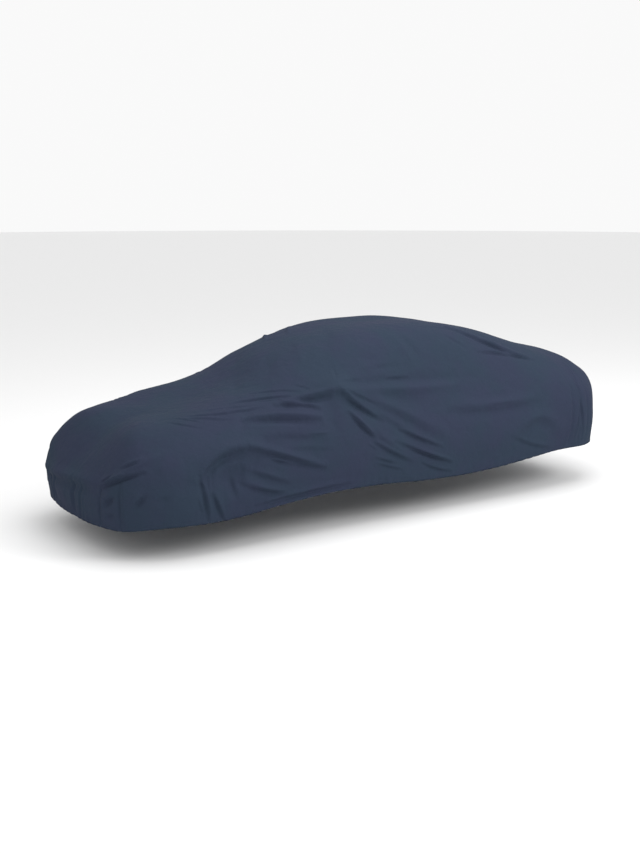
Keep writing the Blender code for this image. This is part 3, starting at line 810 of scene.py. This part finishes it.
class CAR_COVER_OT_cloth(bpy.types.Operator):
    """Builds the draped cloth with its folds, creases, hem and gathers"""

    bl_idname = "car_cover.cloth"
    bl_label = "Draped cloth"

    def execute(self, context):
        settings = context.scene.car_cover_cloth
        points, around, up, _ = folded(settings)
        mesh = thinned(sheet_mesh("draped_cloth", points), settings.triangles)
        mesh.name = "draped_cloth"
        lay_uv(mesh, points, around, up)
        mesh.materials.append(cloth_material(settings))
        mesh.shade_smooth()
        cloth = bpy.data.objects.new("draped_cloth", mesh)
        context.scene.collection.objects.link(cloth)
        wall = cloth.modifiers.new("cloth_thickness", "SOLIDIFY")
        wall.thickness = settings.thickness
        wall.offset = -1.0
        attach(cloth, "root")
        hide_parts(CAD_NODE)
        return {"FINISHED"}


def place_on_cloth(points, around, up, row):
    """The point of the dressed drape at each (around, up) of a row."""
    rays_in_order = np.argsort(around[:, 0])
    order = around[rays_in_order, 0]
    step = order[1] - order[0]
    placed = []
    for far, high in row:
        exact = (far - order[0]) / step
        low = int(np.floor(exact))
        part = exact - low
        spots = []
        for number in (low, low + 1):
            ray = rays_in_order[number % len(order)]
            spots.append([np.interp(high, up[ray, ::-1], points[ray, ::-1, k]) for k in range(3)])
        placed.append(Vector((1 - part) * np.array(spots[0]) + part * np.array(spots[1])))
    return placed


def hem_row(ring, pitch):
    """The stitched line round the hem."""
    count = round(ring / pitch)
    return [(-ring / 2 + ring * i / count, STITCH_UP) for i in range(count + 1)]


def seam_rows(settings):
    """Two stitched lines beside each corner seam, on both sides of the cover."""
    rows = []
    for (top_around, top_up), (foot_around, foot_up) in CORNER_SEAMS:
        steps = round((top_up - foot_up) / settings.pitch)
        for side in (1, -1):
            for gap in (-settings.row_gap, settings.row_gap):
                row = []
                for i in range(steps + 1):
                    part = i / steps
                    far = top_around + (foot_around - top_around) * part
                    row.append((side * far + gap, top_up + (foot_up - top_up) * part))
                rows.append(row)
    return rows


def guide_object(name, rows, surface, lift):
    """The rows as chains of edges that lie on the cloth."""
    verts, edges = [], []
    for row in rows:
        first = len(verts)
        for place in row:
            spot, normal, _, _ = surface.find_nearest(place)
            verts.append(spot + normal * lift)
        edges += [(i, i + 1) for i in range(first, len(verts) - 1)]
    mesh = bpy.data.meshes.new(name)
    mesh.from_pydata(verts, edges, [])
    guide = bpy.data.objects.new(name, mesh)
    bpy.context.scene.collection.objects.link(guide)
    return guide


def stitch_tree():
    """A node tree that lays a low-poly stitch along every edge chain it is given."""
    tree = bpy.data.node_groups.new("stitch_row", "GeometryNodeTree")
    face = tree.interface
    face.new_socket("Geometry", in_out="INPUT", socket_type="NodeSocketGeometry")
    for name in ("Pitch", "Length", "Thread"):
        face.new_socket(name, in_out="INPUT", socket_type="NodeSocketFloat")
    face.new_socket("Seed", in_out="INPUT", socket_type="NodeSocketInt")
    face.new_socket("Material", in_out="INPUT", socket_type="NodeSocketMaterial")
    face.new_socket("Geometry", in_out="OUTPUT", socket_type="NodeSocketGeometry")
    given = tree.nodes.new("NodeGroupInput")
    result = tree.nodes.new("NodeGroupOutput")
    line = tree.nodes.new("GeometryNodeMeshToCurve")
    spots = tree.nodes.new("GeometryNodeCurveToPoints")
    spots.mode = "LENGTH"
    bead = tree.nodes.new("GeometryNodeMeshUVSphere")
    bead.inputs["Segments"].default_value = STITCH_SEGMENTS
    bead.inputs["Rings"].default_value = STITCH_RINGS
    bead.inputs["Radius"].default_value = STITCH_RADIUS
    size = tree.nodes.new("ShaderNodeCombineXYZ")
    shaped = tree.nodes.new("GeometryNodeTransform")
    vary = tree.nodes.new("FunctionNodeRandomValue")
    vary.data_type = "FLOAT"
    # The third and fourth inputs and the second output are those for a single number
    vary.inputs[2].default_value, vary.inputs[3].default_value = STITCH_SCALES
    laid = tree.nodes.new("GeometryNodeInstanceOnPoints")
    real = tree.nodes.new("GeometryNodeRealizeInstances")
    smooth = tree.nodes.new("GeometryNodeSetShadeSmooth")
    dressed = tree.nodes.new("GeometryNodeSetMaterial")
    for source, target in (
        (given.outputs["Geometry"], line.inputs["Mesh"]),
        (line.outputs["Curve"], spots.inputs["Curve"]),
        (given.outputs["Pitch"], spots.inputs["Length"]),
        (given.outputs["Thread"], size.inputs["X"]),
        (given.outputs["Thread"], size.inputs["Y"]),
        (given.outputs["Length"], size.inputs["Z"]),
        (bead.outputs["Mesh"], shaped.inputs["Geometry"]),
        (size.outputs["Vector"], shaped.inputs["Scale"]),
        (spots.outputs["Points"], laid.inputs["Points"]),
        (spots.outputs["Rotation"], laid.inputs["Rotation"]),
        (shaped.outputs["Geometry"], laid.inputs["Instance"]),
        (given.outputs["Seed"], vary.inputs["Seed"]),
        (vary.outputs[1], laid.inputs["Scale"]),
        (laid.outputs["Instances"], real.inputs["Geometry"]),
        (real.outputs["Geometry"], smooth.inputs["Geometry"]),
        (smooth.outputs["Geometry"], dressed.inputs["Geometry"]),
        (given.outputs["Material"], dressed.inputs["Material"]),
        (dressed.outputs["Geometry"], result.inputs["Geometry"]),
    ):
        tree.links.new(source, target)
    return tree


def stitched(name, guide, tree, settings, material):
    """The stitches of a guide as a plain mesh object that rides on the cover's body."""
    modifier = guide.modifiers.new("stitches", "NODES")
    modifier.node_group = tree
    values = {
        "Pitch": settings.pitch,
        "Length": settings.length,
        "Thread": settings.thread,
        "Seed": STITCH_SEED,
        "Material": material,
    }
    for item in tree.interface.items_tree:
        if item.in_out == "INPUT" and item.name in values:
            modifier[item.identifier] = values[item.name]
    mesh = evaluated_mesh(guide)
    guide.modifiers.remove(modifier)
    bpy.data.objects.remove(guide)
    mesh.name = name
    piece = bpy.data.objects.new(name, mesh)
    bpy.context.scene.collection.objects.link(piece)
    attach(piece, "root")
    return piece


def thread_material(settings):
    """Matt thread, a little darker than the cloth, with its twist as a fine bump."""
    material, tree, shader = new_material("dark_thread", THREAD_FINISH)
    place = tree.nodes.new("ShaderNodeTexCoord")
    fibre = new_node(tree, "ShaderNodeTexNoise", Scale=900.0, Detail=2.0)
    tree.links.new(place.outputs["Object"], fibre.inputs["Vector"])
    tone = tree.nodes.new("ShaderNodeMix")
    tone.data_type = "RGBA"
    for name, share in zip("AB", THREAD_TONES):
        tone.inputs[name].default_value = [share * part for part in settings.colour[:3]] + [1.0]
    tree.links.new(fibre.outputs["Fac"], tone.inputs["Factor"])
    tree.links.new(tone.outputs["Result"], shader.inputs["Base Color"])
    bump = new_node(tree, "ShaderNodeBump", Strength=0.4, Distance=0.0003)
    tree.links.new(fibre.outputs["Fac"], bump.inputs["Height"])
    tree.links.new(bump.outputs["Normal"], shader.inputs["Normal"])
    return material


class CAR_COVER_OT_stitching(bpy.types.Operator):
    """Sews the hem and the corner seams"""

    bl_idname = "car_cover.stitching"
    bl_label = "Stitching"

    def execute(self, context):
        settings = context.scene.car_cover_stitching
        cloth = bpy.data.objects.get("draped_cloth")
        if cloth is None:
            raise RuntimeError("the draped cloth comes first: run Draped cloth")
        points, around, up, ring = folded(context.scene.car_cover_cloth)
        verts = [vertex.co for vertex in cloth.data.vertices]
        surface = BVHTree.FromPolygons(verts, [face.vertices for face in cloth.data.polygons])
        tree = stitch_tree()
        thread = thread_material(settings)
        for name, rows in (
            ("hem_stitching", [hem_row(ring, settings.pitch)]),
            ("corner_seam_stitching", seam_rows(settings)),
        ):
            placed = [place_on_cloth(points, around, up, row) for row in rows]
            lift = STITCH_LIFT * settings.thread
            guide = guide_object(name + "_guide", placed, surface, lift)
            stitched(name, guide, tree, settings, thread)
        return {"FINISHED"}


def soft_light(name, power, size, place):
    """A large round area light that faces the cover."""
    data = bpy.data.lights.new(name, "AREA")
    data.shape = "DISK"
    data.energy = power
    data.size = size
    light = bpy.data.objects.new(name, data)
    light.location = place
    facing = Vector(LIGHT_TARGET) - Vector(place)
    light.rotation_euler = facing.to_track_quat("-Z", "Y").to_euler()
    bpy.context.scene.collection.objects.link(light)


class CAR_COVER_OT_stage(bpy.types.Operator):
    """Sets up the pale floor, the soft studio light and the camera"""

    bl_idname = "car_cover.stage"
    bl_label = "Stage"

    def execute(self, context):
        scene = context.scene
        settings = scene.car_cover_stage
        scene.view_settings.view_transform = "Standard"
        grid = bmesh.new()
        bmesh.ops.create_circle(grid, cap_ends=True, segments=FLOOR_SIDES, radius=FLOOR_RADIUS)
        for vert in grid.verts:
            vert.co.z = -ROOF_TOP_HEIGHT
        mesh = bpy.data.meshes.new("studio_floor")
        grid.to_mesh(mesh)
        grid.free()
        material, _, shader = new_material("pale_floor", FLOOR_FINISH)
        shader.inputs["Base Color"].default_value = settings.floor_colour
        mesh.materials.append(material)
        floor = bpy.data.objects.new("studio_floor", mesh)
        scene.collection.objects.link(floor)

        world = bpy.data.worlds.new("studio_sky")
        world.use_nodes = True
        glow = world.node_tree.nodes["Background"]
        glow.inputs["Strength"].default_value = settings.sky
        glow.inputs["Color"].default_value = WHITE
        scene.world = world
        soft_light("overhead_light", settings.overhead, OVERHEAD_SIZE, OVERHEAD_PLACE)
        soft_light("side_light", settings.side, SIDE_SIZE, SIDE_PLACE)

        data = bpy.data.cameras.new("camera")
        data.sensor_width = SENSOR_MM
        longest = max(IMAGE_SIZE)
        data.lens = SENSOR_MM * FOCAL_PIXELS / longest
        data.shift_x = (IMAGE_SIZE[0] / 2 - IMAGE_CENTRE[0]) / longest
        data.shift_y = (IMAGE_CENTRE[1] - IMAGE_SIZE[1] / 2) / longest
        camera = bpy.data.objects.new("camera", data)
        camera.location = CAMERA_PLACE
        camera.rotation_euler = (math.pi / 2 + CAMERA_PITCH, 0.0, -CAMERA_YAW)
        scene.collection.objects.link(camera)
        scene.camera = camera
        return {"FINISHED"}


class CAR_COVER_PT_panel(bpy.types.Panel):
    """Lists the settings and the operators of the cover"""

    bl_idname = "CAR_COVER_PT_panel"
    bl_label = "Fitted car cover"
    bl_space_type = "VIEW_3D"
    bl_region_type = "UI"
    bl_category = "Car cover"

    def draw(self, context):
        for operator, group in OPERATORS:
            box = self.layout.box()
            settings = getattr(context.scene, group)
            for name in settings.__annotations__:
                box.prop(settings, name)
            box.operator(operator)


OPERATORS = (
    ("car_cover.cloth", "car_cover_cloth"),
    ("car_cover.stitching", "car_cover_stitching"),
    ("car_cover.stage", "car_cover_stage"),
)
GROUPS = (
    ("car_cover_cloth", ClothSettings),
    ("car_cover_stitching", StitchSettings),
    ("car_cover_stage", StageSettings),
)
CLASSES = (
    ClothSettings,
    StitchSettings,
    StageSettings,
    CAR_COVER_OT_cloth,
    CAR_COVER_OT_stitching,
    CAR_COVER_OT_stage,
    CAR_COVER_PT_panel,
)


def register():
    """Makes the classes and their settings known to Blender."""
    for kind in CLASSES:
        bpy.utils.register_class(kind)
    for name, kind in GROUPS:
        setattr(bpy.types.Scene, name, PointerProperty(type=kind))


def unregister():
    """Takes the classes and their settings away again."""
    for name, _ in GROUPS:
        delattr(bpy.types.Scene, name)
    for kind in reversed(CLASSES):
        bpy.utils.unregister_class(kind)


def main():
    """Builds the cover and the stage."""
    register()
    bpy.ops.car_cover.cloth()
    bpy.ops.car_cover.stitching()
    bpy.ops.car_cover.stage()


if __name__ == "__main__":
    main()
